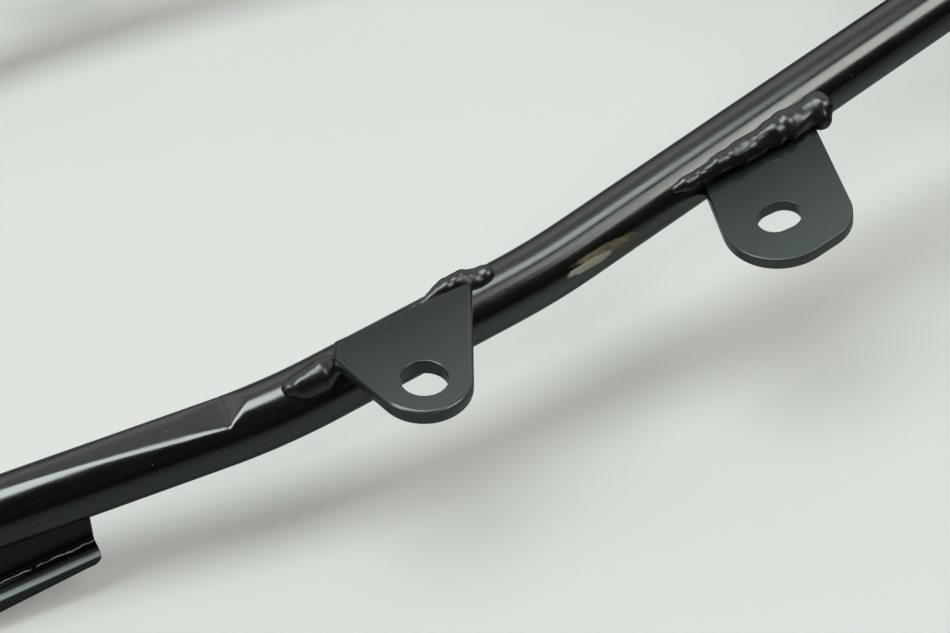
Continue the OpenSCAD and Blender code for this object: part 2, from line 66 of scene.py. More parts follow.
board_half, board_squares = 3.0, 8
shape = bmesh.new()
bmesh.ops.create_grid(shape, x_segments=board_squares, y_segments=board_squares, size=board_half)
mesh = bpy.data.meshes.new("floor")
shape.to_mesh(mesh)
shape.free()
floor = bpy.data.objects.new("floor", mesh)
scene.collection.objects.link(floor)
board = bpy.data.materials.new("board")
board.use_nodes = True
nodes, links = board.node_tree.nodes, board.node_tree.links
bsdf = nodes["Principled BSDF"]
dial(bsdf, Roughness=0.6, Specular_IOR_Level=0.2)
coord, blotch, tone, seen, ray = (nodes.new("ShaderNode" + k) for k in (
    "TexCoord", "TexNoise", "Mix", "Mix", "LightPath"))
dial(blotch, Scale=9.0, Detail=4.0)
tone.data_type = seen.data_type = "RGBA"
dial(tone, A=(0.875, 0.834, 0.824, 1), B=(0.905, 0.863, 0.853, 1))
wire(links, (coord, "Object", blotch, "Vector"), (blotch, "Fac", tone, "Factor"))
# Painted shade in the reflection: the board seen by other rays darkens away from the front bend
off, away, painted_reflection_shade = (nodes.new("ShaderNode" + k) for k in ("VectorMath", "MapRange", "Mix"))
brightest_at = (0.12, -0.14, 0.0)
off.operation, off.inputs[1].default_value, painted_reflection_shade.data_type = "DISTANCE", brightest_at, "RGBA"
dial(away, From_Min=0.06, From_Max=0.34)
dial(painted_reflection_shade, A=(0.29, 0.31, 0.28, 1), B=(0.10, 0.108, 0.10, 1))
wire(links, (coord, "Object", off, 0), (off, "Value", away, "Value"),
     (away, "Result", painted_reflection_shade, "Factor"), (painted_reflection_shade, "Result", seen, "A"),
     (tone, "Result", seen, "B"), (ray, "Is Camera Ray", seen, "Factor"),
     (seen, "Result", bsdf, "Base Color"))
# A quarter of what the camera sees of the board is even, so that no shadow on it goes too deep
glow, share, pick = (nodes.new("ShaderNode" + k) for k in ("Emission", "Math", "MixShader"))
dial(glow, Color=(0.737, 0.776, 0.723, 1))
even_share = 0.25
share.operation, share.inputs[1].default_value = "MULTIPLY", even_share
wire(links, (ray, "Is Camera Ray", share, 0), (share, "Value", pick, "Fac"),
     (bsdf, "BSDF", pick, 1), (glow, "Emission", pick, 2),
     (pick, "Shader", nodes["Material Output"], "Surface"))
mesh.materials.append(board)

# Light: two large soft panels overhead, a cool one over the rear and a warm one over the front,
# each dimmer and narrower at the end where they meet. Their corners are given as seen from the
# right rail, as slopes from the vertical along X and Y.
panel_up, rail_y, rail_z = 6.0, -0.12, 0.05
for name, low, high, level, colour in (
        ("cool_panel", (-1.6, -0.06), (0.07, 0.45), 4.0, (0.88, 1.0, 0.98)),
        ("cool_panel_end", (0.07, 0.01), (0.29, 0.34), 2.1, (0.84, 1.0, 1.0)),
        ("warm_panel_end", (0.17, -0.55), (0.36, -0.17), 1.5, (0.93, 1.0, 0.92)),
        ("warm_panel", (0.36, -0.84), (1.15, -0.17), 3.1, (0.95, 1.0, 0.92))):
    data = bpy.data.lights.new(name, "AREA")
    data.shape, data.color = "RECTANGLE", colour
    data.size, data.size_y = (high[0] - low[0]) * panel_up, (high[1] - low[1]) * panel_up
    data.energy = level * math.pi * data.size * data.size_y
    panel = bpy.data.objects.new(name, data)
    panel.location = ((low[0] + high[0]) / 2 * panel_up, (low[1] + high[1]) / 2 * panel_up + rail_y,
                      panel_up + rail_z)
    scene.collection.objects.link(panel)

# Room: pale walls on the far side, darkest overhead and near the floor, darkness behind the camera,
# and a plain pale backdrop for the camera itself

# Lays the stops of a colour ramp, each a place along it and a colour
def lay_ramp(ramp, stops):
    for end in (0, -1):
        ramp.elements[end].position, ramp.elements[end].color = stops[end][0], (*stops[end][1], 1)
    for at, colour in stops[1:-1]:
        ramp.elements.new(at).color = (*colour, 1)


world = bpy.data.worlds.new("room")
scene.world = world
world.use_nodes = True
nodes, links = world.node_tree.nodes, world.node_tree.links
nodes.clear()
coord, split, wall, near_side = (nodes.new("ShaderNode" + k) for k in (
    "TexCoord", "SeparateXYZ", "ValToRGB", "MapRange"))
links.new(coord.outputs["Generated"], split.inputs["Vector"])
upwards = ((0, 0.18), (0.1, 0.28), (0.28, 0.38), (0.5, 0.58), (0.62, 0.6), (0.69, 0.40), (0.72, 0.31),
           (0.8, 0.31), (1, 0.34))
wall_tint = (0.94, 1, 0.91)
lay_ramp(wall.color_ramp, [(at, tuple(level * share for share in wall_tint)) for at, level in upwards])
links.new(split.outputs["Z"], wall.inputs["Fac"])
near_side.interpolation_type = "SMOOTHSTEP"
dial(near_side, From_Min=-0.25, From_Max=0.2, To_Min=0.05)
links.new(split.outputs["Y"], near_side.inputs["Value"])
glow, backdrop, ray, pick, out = (nodes.new("ShaderNode" + k) for k in (
    "Background", "Background", "LightPath", "MixShader", "OutputWorld"))
wire(links, (wall, "Color", glow, "Color"), (near_side, "Result", glow, "Strength"))
dial(backdrop, Color=(0.72, 0.76, 0.72, 1))
wire(links, (ray, "Is Camera Ray", pick, "Fac"), (glow, "Background", pick, 1),
     (backdrop, "Background", pick, 2), (pick, "Shader", out, "Surface"))

# Rails: the two long tubes, drawn steel 19.1 mm thick, each bent three times and sprayed gloss black.
# A flat is pressed into the top of each just behind its rear bend, and each stops short of its boss.

# The enamel's wear, which every painted piece shares: Rub dulls the gloss in cloudy patches, Dust is
# a scatter of pale specks, Haze a thin veil of dust, Height the slight waviness of sprayed paint
wear = bpy.data.node_groups.new("enamel_wear", "ShaderNodeTree")
wear.interface.new_socket("Vector", in_out="INPUT", socket_type="NodeSocketVector")
for name in ("Rub", "Dust", "Haze", "Height"):
    wear.interface.new_socket(name, in_out="OUTPUT", socket_type="NodeSocketFloat")
nodes, links = wear.nodes, wear.links
into, outof = nodes.new("NodeGroupInput"), nodes.new("NodeGroupOutput")
for name, scale, detail, low, high in (("Rub", 90, 6, 0.3, 0.95), ("Haze", 35, 5, 0.3, 0.8)):
    cloud, ramp = nodes.new("ShaderNodeTexNoise"), nodes.new("ShaderNodeMapRange")
    dial(cloud, Scale=scale, Detail=detail)
    dial(ramp, From_Min=low, From_Max=high)
    wire(links, (into, "Vector", cloud, "Vector"), (cloud, "Fac", ramp, "Value"),
         (ramp, "Result", outof, name))
specks, near, split, some, only = (nodes.new("ShaderNode" + k) for k in (
    "TexVoronoi", "MapRange", "SeparateColor", "Math", "Math"))
dial(specks, Scale=420.0)
dial(near, From_Min=0.09, From_Max=0.03)
clean_share = 0.94
some.operation, some.inputs[1].default_value, only.operation = "GREATER_THAN", clean_share, "MULTIPLY"
wire(links, (into, "Vector", specks, "Vector"), (specks, "Distance", near, "Value"),
     (specks, "Color", split, "Color"), (split, "Red", some, 0),
     (near, "Result", only, 0), (some, "Value", only, 1),
     (only, "Value", outof, "Dust"))
wave, grain, total = (nodes.new("ShaderNode" + k) for k in ("TexNoise", "TexNoise", "Math"))
dial(wave, Scale=170.0)
dial(grain, Scale=900.0)
grain_share = 0.22
total.operation, total.inputs[1].default_value = "MULTIPLY_ADD", grain_share
wire(links, (into, "Vector", wave, "Vector"), (into, "Vector", grain, "Vector"),
     (grain, "Fac", total, 0), (wave, "Fac", total, 2),
     (total, "Value", outof, "Height"))


# One coat of enamel: black where clean, its veil of dust, its gloss and how wavy it lies
def enamel(name, black, veil, ior, rough, wavy):
    mat = bpy.data.materials.new(name)
    mat.use_nodes = True
    nodes, links = mat.node_tree.nodes, mat.node_tree.links
    bsdf = nodes["Principled BSDF"]
    coord, group = nodes.new("ShaderNodeTexCoord"), nodes.new("ShaderNodeGroup")
    dial(bsdf, IOR=ior)
    group.node_tree = wear
    links.new(coord.outputs["Object"], group.inputs["Vector"])
    gloss, haze, dust, relief = (nodes.new("ShaderNode" + k) for k in ("MapRange", "Mix", "Mix", "Bump"))
    rub_dulls = 0.12
    dial(gloss, To_Min=rough, To_Max=rough + rub_dulls)
    wire(links, (group, "Rub", gloss, "Value"), (gloss, "Result", bsdf, "Roughness"))
    haze.data_type = dust.data_type = "RGBA"
    dial(haze, A=(*black, 1), B=(*veil, 1))
    dial(dust, B=(0.35, 0.34, 0.3, 1))
    wire(links, (group, "Haze", haze, "Factor"), (haze, "Result", dust, "A"),
         (group, "Dust", dust, "Factor"), (dust, "Result", bsdf, "Base Color"))
    dial(relief, Distance=0.0002, Strength=wavy)
    wire(links, (group, "Height", relief, "Height"), (relief, "Normal", bsdf, "Normal"))
    return mat


tube_enamel = enamel("tube_enamel", black=(0.0012, 0.0015, 0.0013), veil=(0.004, 0.0045, 0.0038),
                     ior=2.2, rough=0.16, wavy=0.08)

# The right rail's centre line: where its straights would cross, in millimetres, and how round each
# bend is. It is laid in short steps where the flat and the tab are.
tube_r = 0.00955
hoop_end, knee, rear_bend, front_bend, boss = (Vector(p) / 1000 for p in (
    (-305.9, -81.11, 9.55), (-291.811, -83.5193, 9.55), (-49.139, -125, 37.6),
    (36.861, -125, 49.9928), (336.861, -95.5847, 109.133)))
corners, bend_r = (hoop_end, knee, rear_bend, front_bend, boss), (0, 0.100, 0.194, 0.237, 0)
boss_gap = 0.0085
bend_step, fine_step, coarse_step, least_steps = 0.0005, 0.0006, 0.002, 8
line = []
for i in range(4):
    along = (corners[i + 1] - corners[i]).normalized()
    start, end = corners[i], corners[i + 1] - along * boss_gap
    if i:
        before = (corners[i] - corners[i - 1]).normalized()
        swing = before.angle(along)
        cut = bend_r[i] * math.tan(swing / 2)
        pivot = before.cross(along).normalized()
        centre = corners[i] - before * cut + pivot.cross(before) * bend_r[i]
        steps = max(least_steps, int(bend_r[i] * swing / bend_step))
        for j in range(steps):
            turn = Matrix.Rotation(swing * j / steps, 3, pivot)
            line.append((centre + turn @ (corners[i] - before * cut - centre), turn @ before))
        start = corners[i] + along * cut
    if i < 3:
        after = (corners[i + 2] - corners[i + 1]).normalized()
        end = corners[i + 1] - along * bend_r[i + 1] * math.tan(along.angle(after) / 2)
    step = fine_step if i in (1, 2) else coarse_step
    steps = max(2, int((end - start).length / step))
    line += [(start + (end - start) * j / steps, along) for j in range(steps + (i == 3))]
centres, headings = (np.array([spot[n] for spot in line]) for n in (0, 1))
travelled = np.concatenate([[0], np.cumsum(np.linalg.norm(np.diff(centres, axis=0), axis=1))])
travelled -= travelled[np.argmin(np.linalg.norm(centres - np.array(front_bend), axis=1))]
around = 120
spoke = np.arange(around) / around * 2 * np.pi - np.pi
outward = np.cross(headings, [0, 0, 1.0])
outward /= np.linalg.norm(outward, axis=1)[:, None]
upward = np.cross(outward, headings)
skin = centres[:, None] + tube_r * (upward[:, None] * np.cos(spoke)[None, :, None]
                                    + outward[:, None] * np.sin(spoke)[None, :, None])

# The flat pressed into the top just behind the rear bend, for the bracket below it to be welded on:
# sharp at its front end, where the metal rises again within 8 mm, and fading out over 77 mm towards
# the tail. Its shoulders are round, and rounder towards the tail.
run = np.array((rear_bend - knee).normalized())
aside = np.cross(run, [0, 0, 1.0])
aside /= np.linalg.norm(aside)
above = np.cross(aside, run)
ahead, height = ((skin - np.array(rear_bend)) @ axis for axis in (run, above))
crest = ((centres - np.array(rear_bend)) @ above + tube_r)[:, None]
flat_depth, flat_from, flat_to, recovery, dig_in = 0.0023, -0.090, -0.0128, 0.008, 2.6
depth = flat_depth * np.clip((ahead - flat_from) / (flat_to - flat_from), 0, 1) ** dig_in
back = np.clip((ahead - flat_to) / recovery, 0, 1)
depth = np.where(ahead > flat_to, flat_depth * (1 - back) ** 2, depth)
crease_deep, crease_half = 0.0003, 0.00035
depth = depth + crease_deep * np.exp(-((ahead - flat_to) / crease_half) ** 2)
sharpest, rounder, round_over, least_round = 0.0009, 0.0034, 0.07, 1e-5
shoulder = sharpest + rounder * np.clip((flat_to - ahead) / round_over, 0, 1)
shoulder = np.minimum(shoulder, depth + least_round)
over = height - (crest - depth)
eased = height - (over + shoulder) ** 2 / (4 * shoulder)
pressed = np.where(over > shoulder, height - over, np.where(over < -shoulder, height, eased))
fade_in, fade_out = 0.02, 0.001
fade = np.clip((ahead - flat_from) / fade_in, 0, 1)
fade = fade * np.clip((flat_to + recovery - ahead) / fade_out, 0, 1)
skin = skin + ((pressed - height) * fade)[:, :, None] * above

# The tube's faces, its closed ends, and its map along and round the tube
rows = len(line)
quads = [(i * around + j, (i + 1) * around + j, (i + 1) * around + (j + 1) % around,
          i * around + (j + 1) % around) for i in range(rows - 1) for j in range(around)]
lids = [tuple(reversed(range(around))), tuple((rows - 1) * around + j for j in range(around))]
row_i, col_j = np.divmod(np.arange((rows - 1) * around), around)
girth = (np.stack([col_j, col_j, col_j + 1, col_j + 1], 1) / around - 0.5) * 2 * np.pi * tube_r
tube_uv = np.stack([travelled[np.stack([row_i, row_i + 1, row_i + 1, row_i], 1)], girth], 2)


# The nodes that lay a ragged oval mark on a piece by its own map: where its middle is, how far it is
# turned, its half sizes, and how far in its rim is fully worn
def ragged_oval(nodes, links, place, ragged, middle, turn, half, worn_at):
    lens, reach, jag, total, mask = (nodes.new("ShaderNode" + k) for k in (
        "Mapping", "VectorMath", "Math", "Math", "MapRange"))
    lens.vector_type, reach.operation, jag.operation = "TEXTURE", "LENGTH", "MULTIPLY_ADD"
    dial(lens, Location=(*middle, 0), Rotation=(0, 0, math.radians(turn)), Scale=(*half, 1))
    raggedness, rim = 0.7, 1.05
    jag.inputs[1].default_value, jag.inputs[2].default_value = raggedness, -raggedness / 2
    dial(mask, From_Min=rim, From_Max=worn_at)
    wire(links, (place, "UV", lens, "Vector"), (lens, "Vector", reach, 0),
         (ragged, "Fac", jag, 0), (reach, "Value", total, 0),
         (jag, "Value", total, 1), (total, "Value", mask, "Value"))
    return mask.outputs["Result"]


# The right rail's own paint: rubbed through just past the front bend, bare cream primer with a rusty
# fringe above it, laid out along the tube and round it in metres
rubbed = tube_enamel.copy()
rubbed.name = "tube_enamel_rubbed"
nodes, links = rubbed.node_tree.nodes, rubbed.node_tree.links
bsdf, coord = nodes["Principled BSDF"], next(n for n in nodes if n.type == "TEX_COORD")
place, ragged = nodes.new("ShaderNodeUVMap"), nodes.new("ShaderNodeTexNoise")
place.uv_map = "along"
dial(ragged, Scale=420.0, Detail=5.0)
links.new(coord.outputs["Object"], ragged.inputs["Vector"])
primer = ragged_oval(nodes, links, place, ragged, middle=(0.0119, 0.01265), turn=5.3,
                     half=(0.0082, 0.0014), worn_at=0.86)
fringe = ragged_oval(nodes, links, place, ragged, middle=(0.0182, 0.0115), turn=7.1,
                     half=(0.0118, 0.0016), worn_at=0.75)
rust, stained, bared, worn, dull = (nodes.new("ShaderNode" + k) for k in (
    "ValToRGB", "Mix", "Mix", "Math", "Mix"))
lay_ramp(rust.color_ramp, [(0.3, (0.075, 0.046, 0.016)), (0.7, (0.33, 0.25, 0.1))])
stained.data_type = bared.data_type = "RGBA"
dial(bared, B=(0.66, 0.62, 0.5, 1))
links.new(ragged.outputs["Fac"], rust.inputs["Fac"])
links.new(bsdf.inputs["Base Color"].links[0].from_socket, stained.inputs["A"])
links.new(rust.outputs["Color"], stained.inputs["B"])
links.new(fringe, stained.inputs["Factor"])
links.new(stained.outputs["Result"], bared.inputs["A"])
links.new(primer, bared.inputs["Factor"])
links.new(bared.outputs["Result"], bsdf.inputs["Base Color"])
worn.operation = "MAXIMUM"
links.new(primer, worn.inputs[0])
links.new(fringe, worn.inputs[1])
dial(dull, B=0.7)
links.new(worn.outputs["Value"], dull.inputs["Factor"])
links.new(bsdf.inputs["Roughness"].links[0].from_socket, dull.inputs["A"])
links.new(dull.outputs["Result"], bsdf.inputs["Roughness"])

# Both rails, the left one mirrored and with its paint whole
for side, flip, mat in (("right", 1, rubbed), ("left", -1, tube_enamel)):
    mesh = bpy.data.meshes.new(side + "_rail_tube")
    verts = (skin * [1, flip, 1]).reshape(-1, 3)
    mesh.from_pydata(verts.tolist(), [], [f[::flip] for f in quads + lids])
    uv = np.zeros((len(mesh.loops), 2), np.float32)
    uv[:tube_uv.shape[0] * 4] = tube_uv[:, ::flip].reshape(-1, 2)
    mesh.uv_layers.new(name="along").data.foreach_set("uv", uv.ravel())
    mesh.polygons.foreach_set("use_smooth", [True] * len(quads) + [False] * 2)
    mesh.materials.append(mat)
    rail = bpy.data.objects.new(side + "_rail_tube", mesh)
    scene.collection.objects.link(rail)
    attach(rail, "root")
    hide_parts(side + "_rail")

# Side tabs: thick plate with rounded edges, cut to a template, one pair with a round hole for the
# side cover and one with a slot. The rear pair lies level, its top 1.6 mm above the tube at its toe;
# the front pair follows the tube.

# The paint of the sheet metal: lighter on the tabs' outer ends, away from the rail
sheet_enamel = enamel("sheet_enamel", black=(0.0045, 0.0075, 0.0052), veil=(0.009, 0.0125, 0.009),
                      ior=1.78, rough=0.15, wavy=0.06)
nodes, links = sheet_enamel.node_tree.nodes, sheet_enamel.node_tree.links
bsdf, coord = nodes["Principled BSDF"], next(n for n in nodes if n.type == "TEX_COORD")
split, out_from_rail, outer_end_share, lighter_outward = (nodes.new("ShaderNode" + k) for k in (
    "SeparateXYZ", "Math", "MapRange", "Mix"))
out_from_rail.operation, lighter_outward.data_type = "ABSOLUTE", "RGBA"
dial(outer_end_share, From_Min=0.128, From_Max=0.164, To_Max=0.25)
dial(lighter_outward, B=(0.26, 0.29, 0.27, 1))
wire(links, (coord, "Object", split, "Vector"), (split, "Y", out_from_rail, 0),
     (out_from_rail, "Value", outer_end_share, "Value"), (outer_end_share, "Result", lighter_outward, "Factor"))
links.new(bsdf.inputs["Base Color"].links[0].from_socket, lighter_outward.inputs["A"])
links.new(lighter_outward.outputs["Result"], bsdf.inputs["Base Color"])


# One side's copy of a mesh made for the right side, as an object
def handed(right_mesh, side, name):
    mesh = right_mesh.copy()
    mesh.name = name
    if side == "left":
        mesh.transform(Matrix.Diagonal((1, -1, 1, 1)))
        mesh.flip_normals()
    piece = bpy.data.objects.new(name, mesh)
    scene.collection.objects.link(piece)
    return piece


# A ring of points round a middle, for the tabs' rounded noses and their holes
def disc(middle, r, points):
    angles = [2 * math.pi * k / points for k in range(points)]
    return [(middle[0] + r * math.cos(a), middle[1] + r * math.sin(a)) for a in angles]


# The templates: each the tight outline round a nose or two and the foot along the tube, in metres
# ahead of the bend and out from the rail
mid_dir, front_dir = (front_bend - rear_bend).normalized(), (boss - front_bend).normalized()
front_aside = front_dir.cross(Vector((0, 0, 1))).normalized()
rear_t, rear_soft, toe_at, toe_above = 0.0048, 0.0013, 0.0637, 0.0016
rear_heel, rear_toe = [(0.0189, 0.002), (0.0157, 0.0084)], [(toe_at, -0.0004)]
rear_nose, rear_nose_r, rear_hole_r = (0.0325, 0.0272), 0.0131, 0.0064
rear_tab_top = rear_bend.z + toe_at * mid_dir.z / mid_dir.x + tube_r / mid_dir.x + toe_above
front_t, front_soft, front_foot = 0.004, 0.0004, [(0.0563, tube_r / 2), (0.0974, tube_r / 2)]
slot_nose_r, small_nose, small_nose_r = 0.0166, (0.0685, 0.0378), 0.0123
slot_at, slot_turn, slot_half, slot_r = (0.0613, 0.0332), math.radians(12), 0.00125, 0.0053
just_ahead, hole_share = 1e-9, 0.4
nose_points, hole_points, edge_steps, notch_sides = 160, 64, 4, 96
slot = [(x + math.copysign(slot_half, x), y) for x, y in disc((just_ahead, 0), slot_r, hole_points)]
slot = [(slot_at[0] + x * math.cos(slot_turn) - y * math.sin(slot_turn),
         slot_at[1] + x * math.sin(slot_turn) + y * math.cos(slot_turn)) for x, y in slot]
for kind, plate_t, soft, template, hole, origin, axes, underside in (
        ("rear", rear_t, rear_soft, rear_heel + rear_toe + disc(rear_nose, rear_nose_r, nose_points),
         disc(rear_nose, rear_hole_r, hole_points), Vector((rear_bend.x, rear_bend.y, 0)),
         (Vector((1, 0, 0)), Vector((0, -1, 0)), Vector((0, 0, 1))), rear_tab_top - rear_t),
        ("front", front_t, front_soft,
         front_foot + disc(slot_at, slot_nose_r, nose_points) + disc(small_nose, small_nose_r, nose_points),
         slot, front_bend, (front_dir, front_aside, front_aside.cross(front_dir)), -front_t / 2)):
    outline = [template[k] for k in geometry.convex_hull_2d(template)]
    shape = bmesh.new()
    lids = ([], [])
    # Both rims are walked anticlockwise, and the plate's edge is rounded off inwards from each of them
    for path, into_plate in ((outline, -1), (hole, 1)):
        rim = np.array(path)
        twice_area = np.sum(rim[:, 0] * np.roll(rim[:, 1], -1) - np.roll(rim[:, 0], -1) * rim[:, 1])
        if twice_area < 0:
            rim = rim[::-1]
        ahead = np.roll(rim, -1, 0) - rim
        ahead /= np.linalg.norm(ahead, axis=1)[:, None]
        next_out = np.stack([ahead[:, 1], -ahead[:, 0]], 1)
        last_out = np.roll(next_out, 1, 0)
        mitre = (last_out + next_out) / (1 + (last_out * next_out).sum(1))[:, None]
        edge_r = soft if into_plate == -1 else soft * hole_share
        turns = [math.pi / 2 * k / edge_steps for k in range(edge_steps + 1)]
        levels = [(1 - math.sin(a), edge_r * (1 - math.cos(a))) for a in turns]
        levels += [(inset, plate_t - z) for inset, z in reversed(levels)]
        rings = [[shape.verts.new(origin + axes[0] * x + axes[1] * y + axes[2] * (underside + z))
                  for x, y in rim + into_plate * mitre * edge_r * inset] for inset, z in levels]
        for lower, upper in zip(rings, rings[1:]):
            for k in range(len(rim)):
                onward = (k + 1) % len(rim)
                shape.faces.new((lower[k], lower[onward], upper[onward], upper[k])).smooth = True
        for lid, ring in zip(lids, (rings[0], rings[-1])):
            lid += [shape.edges.get((ring[k], ring[(k + 1) % len(rim)])) for k in range(len(rim))]
    for lid in lids:
        bmesh.ops.triangle_fill(shape, edges=lid, use_beauty=True, use_dissolve=False)
    bmesh.ops.recalc_face_normals(shape, faces=shape.faces)
    mesh = bpy.data.meshes.new("tab_blank")
    shape.to_mesh(mesh)
    shape.free()
    blank = bpy.data.objects.new("tab_blank", mesh)
    scene.collection.objects.link(blank)
    # Where the plate meets the tube it is notched to it, and reaches 0.2 mm into it
    a, b = (rear_bend, front_bend) if kind == "rear" else (front_bend, boss)
    reaches_in = 0.0002
    notch_r, lie = tube_r - reaches_in, (b - a).to_track_quat("Z", "Y").to_matrix().to_4x4()
    shape = bmesh.new()
    bmesh.ops.create_cone(shape, cap_ends=True, segments=notch_sides, radius1=notch_r, radius2=notch_r,
                          depth=(b - a).length, matrix=Matrix.Translation((a + b) / 2) @ lie)
    mesh = bpy.data.meshes.new("notch")
    shape.to_mesh(mesh)
    shape.free()
    cutter = bpy.data.objects.new("notch", mesh)
    scene.collection.objects.link(cutter)
    notch = blank.modifiers.new("notch", "BOOLEAN")
    notch.operation, notch.object, notch.solver = "DIFFERENCE", cutter, "EXACT"
    bpy.context.view_layer.update()
    notched = bpy.data.meshes.new_from_object(blank.evaluated_get(bpy.context.evaluated_depsgraph_get()))
    bpy.data.objects.remove(blank)
    bpy.data.objects.remove(cutter)
    notched.materials.clear()
    notched.materials.append(sheet_enamel)
    for side in ("right", "left"):
        tab = handed(notched, side, f"{side}_{kind}_tab_plate")
        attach(tab, "root")
        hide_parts(f"{side}_{kind}_tab")

# Hook brackets: 2.6 mm sheet welded under each rail, its web bent out to a lip and the lip's outer
# edge turned down, more of it towards the rear. The folds are pressed to about the sheet's thickness.
hook_back, hook_len, hook_turn = 0.057, 0.044, math.radians(6)
drop, sheet_t, web_in, lip_out, fillet_r, under_r = 0.018, 0.0026, -0.0024, -0.011, 0.002, 0.0031
edge_front, edge_rear, round_len, round_in, soft_edge = 0.0026, 0.0054, 0.003, 0.0022, 0.0003
lean_over, lean_ahead, slant, splay = 0.008, 0.0020, 0.114, 0.065
into_tube, apart, corner_gap, sharp_from = 0.0003, 1e-6, 2e-5, math.radians(35)
body_steps, end_steps, fold_steps = 40, 10, 8
rail_x, rail_in, hook_z = Vector(run), -Vector(aside), Vector(above)
hook_x = rail_x * math.cos(hook_turn) + rail_in * math.sin(hook_turn)
hook_y = rail_in * math.cos(hook_turn) - rail_x * math.sin(hook_turn)
hook_start = rear_bend - rail_x * hook_back


# A quarter turn of a fold, from one angle to the other
def quarter(y, z, r, first, last):
    angles = [math.radians(first + (last - first) * k / fold_steps) for k in range(fold_steps + 1)]
    return [(y + r * math.cos(a), z + r * math.sin(a)) for a in angles]


# The bracket is drawn as a row of sections across it, from its rear end to its rounded front end
stations = [-hook_len + (hook_len - round_len) * k / body_steps for k in range(body_steps + 1)]
stations += [-round_len + round_len * math.sin(math.pi / 2 * k / end_steps) for k in range(1, end_steps + 1)]
shape = bmesh.new()
map_of, sections = {}, []
for x in stations:
    web_out = web_in - sheet_t
    meets = []
    for y in (web_out, web_in):
        off = x * math.sin(hook_turn) + y * math.cos(hook_turn)
        meets.append(min(0, into_tube - math.sqrt(max(0, tube_r ** 2 - off ** 2))))
    rounding = max(0, (x + round_len) / round_len)
    inward = round_in * (1 - math.sqrt(max(0, 1 - rounding ** 2)))
    outer, fold_r = lip_out + inward, sheet_t - 0.5 * inward
    foot = -drop - (edge_front + (edge_rear - edge_front) * -x / hook_len)
    path = [(web_out, meets[0]), (web_out, (meets[0] - drop) / 2)]
    path += quarter(web_out - fillet_r, -drop + fillet_r, fillet_r, 0, -90)
    path += quarter(outer + fold_r, -drop - fold_r, fold_r, 90, 180)
    path += [(outer, min(-drop - fold_r, foot + soft_edge) - apart), (outer + soft_edge, foot - apart),
             (outer + sheet_t - soft_edge, foot - apart), (outer + sheet_t, min(-drop - sheet_t, foot)),
             (outer + sheet_t + corner_gap, -drop - sheet_t)]
    path += quarter(web_in - under_r, -drop - sheet_t + under_r, under_r, -90, 0)
    path += [(web_in, meets[1])]
    far = [0]
    for (y0, z0), (y1, z1) in zip(path, path[1:]):
        far.append(far[-1] + math.hypot(y1 - y0, z1 - z0))
    # The front end leans: it is cut slanting and splayed out along the lip
    lean = min(1, max(0, (x + lean_over) / lean_over))
    ring = []
    for (y, z), v in zip(path, far):
        forward = x + lean * (lean_ahead + slant * z + splay * max(0, web_out - y))
        vert = shape.verts.new(hook_start + hook_x * forward + hook_y * y + hook_z * z)
        map_of[vert] = (x, v - far[2])
        ring.append(vert)
    sections.append(ring)
for a, b in zip(sections, sections[1:]):
    for k in range(len(a)):
        onward = (k + 1) % len(a)
        shape.faces.new((a[k], a[onward], b[onward], b[k])).smooth = True
shape.faces.new(sections[0])
shape.faces.new(sections[-1])
bmesh.ops.recalc_face_normals(shape, faces=shape.faces)
layer = shape.loops.layers.uv.new("along")
for face in shape.faces:
    for loop in face.loops:
        loop[layer].uv = map_of[loop.vert]
hook_mesh = bpy.data.meshes.new("hook_bracket_sheet")
shape.to_mesh(hook_mesh)
shape.free()
hook_mesh.set_sharp_from_angle(angle=sharp_from)

# The bracket's paint: a thin broken bright line that wanders along the inside of the bend, and a painted
# highlight, a bright grey band along the outer fold, which ends sharply below it
painted_fold_highlight = enamel("sheet_enamel_scraped", black=(0.0015, 0.0018, 0.0016), veil=(0.004, 0.0045, 0.004),
                 ior=1.55, rough=0.2, wavy=0.1)
nodes, links = painted_fold_highlight.node_tree.nodes, painted_fold_highlight.node_tree.links
bsdf, coord = nodes["Principled BSDF"], next(n for n in nodes if n.type == "TEX_COORD")
place, wander, broken, split, offset, shift, width, stripe, gate, line_on, bright = (
    nodes.new("ShaderNode" + k) for k in (
        "UVMap", "TexNoise", "TexNoise", "SeparateXYZ", "Math", "Math", "Math", "MapRange", "MapRange",
        "Math", "Mix"))
place.uv_map = "along"
# The thin bright line inside the bend: where it runs round the section and how far it wanders
wanders_by, bright_line_at = 0.0014, 0.0022
dial(wander, Scale=240.0)
dial(broken, Scale=420.0)
wire(links, (coord, "Object", wander, "Vector"), (coord, "Object", broken, "Vector"),
     (place, "UV", split, "Vector"))
offset.operation, offset.inputs[1].default_value = "MULTIPLY_ADD", wanders_by
shift.operation, shift.inputs[1].default_value = "SUBTRACT", bright_line_at
width.operation = "ABSOLUTE"
dial(stripe, From_Min=0.00022, From_Max=0.00008)
dial(gate, From_Min=0.36, From_Max=0.5)
line_on.operation, bright.data_type = "MULTIPLY", "RGBA"
wire(links, (wander, "Fac", offset, 0), (split, "Y", offset, 2),
     (offset, "Value", shift, 0), (shift, "Value", width, 0),
     (width, "Value", stripe, "Value"), (broken, "Fac", gate, "Value"),
     (stripe, "Result", line_on, 0), (gate, "Result", line_on, 1))
dial(bright, B=(0.85, 0.85, 0.78, 1))
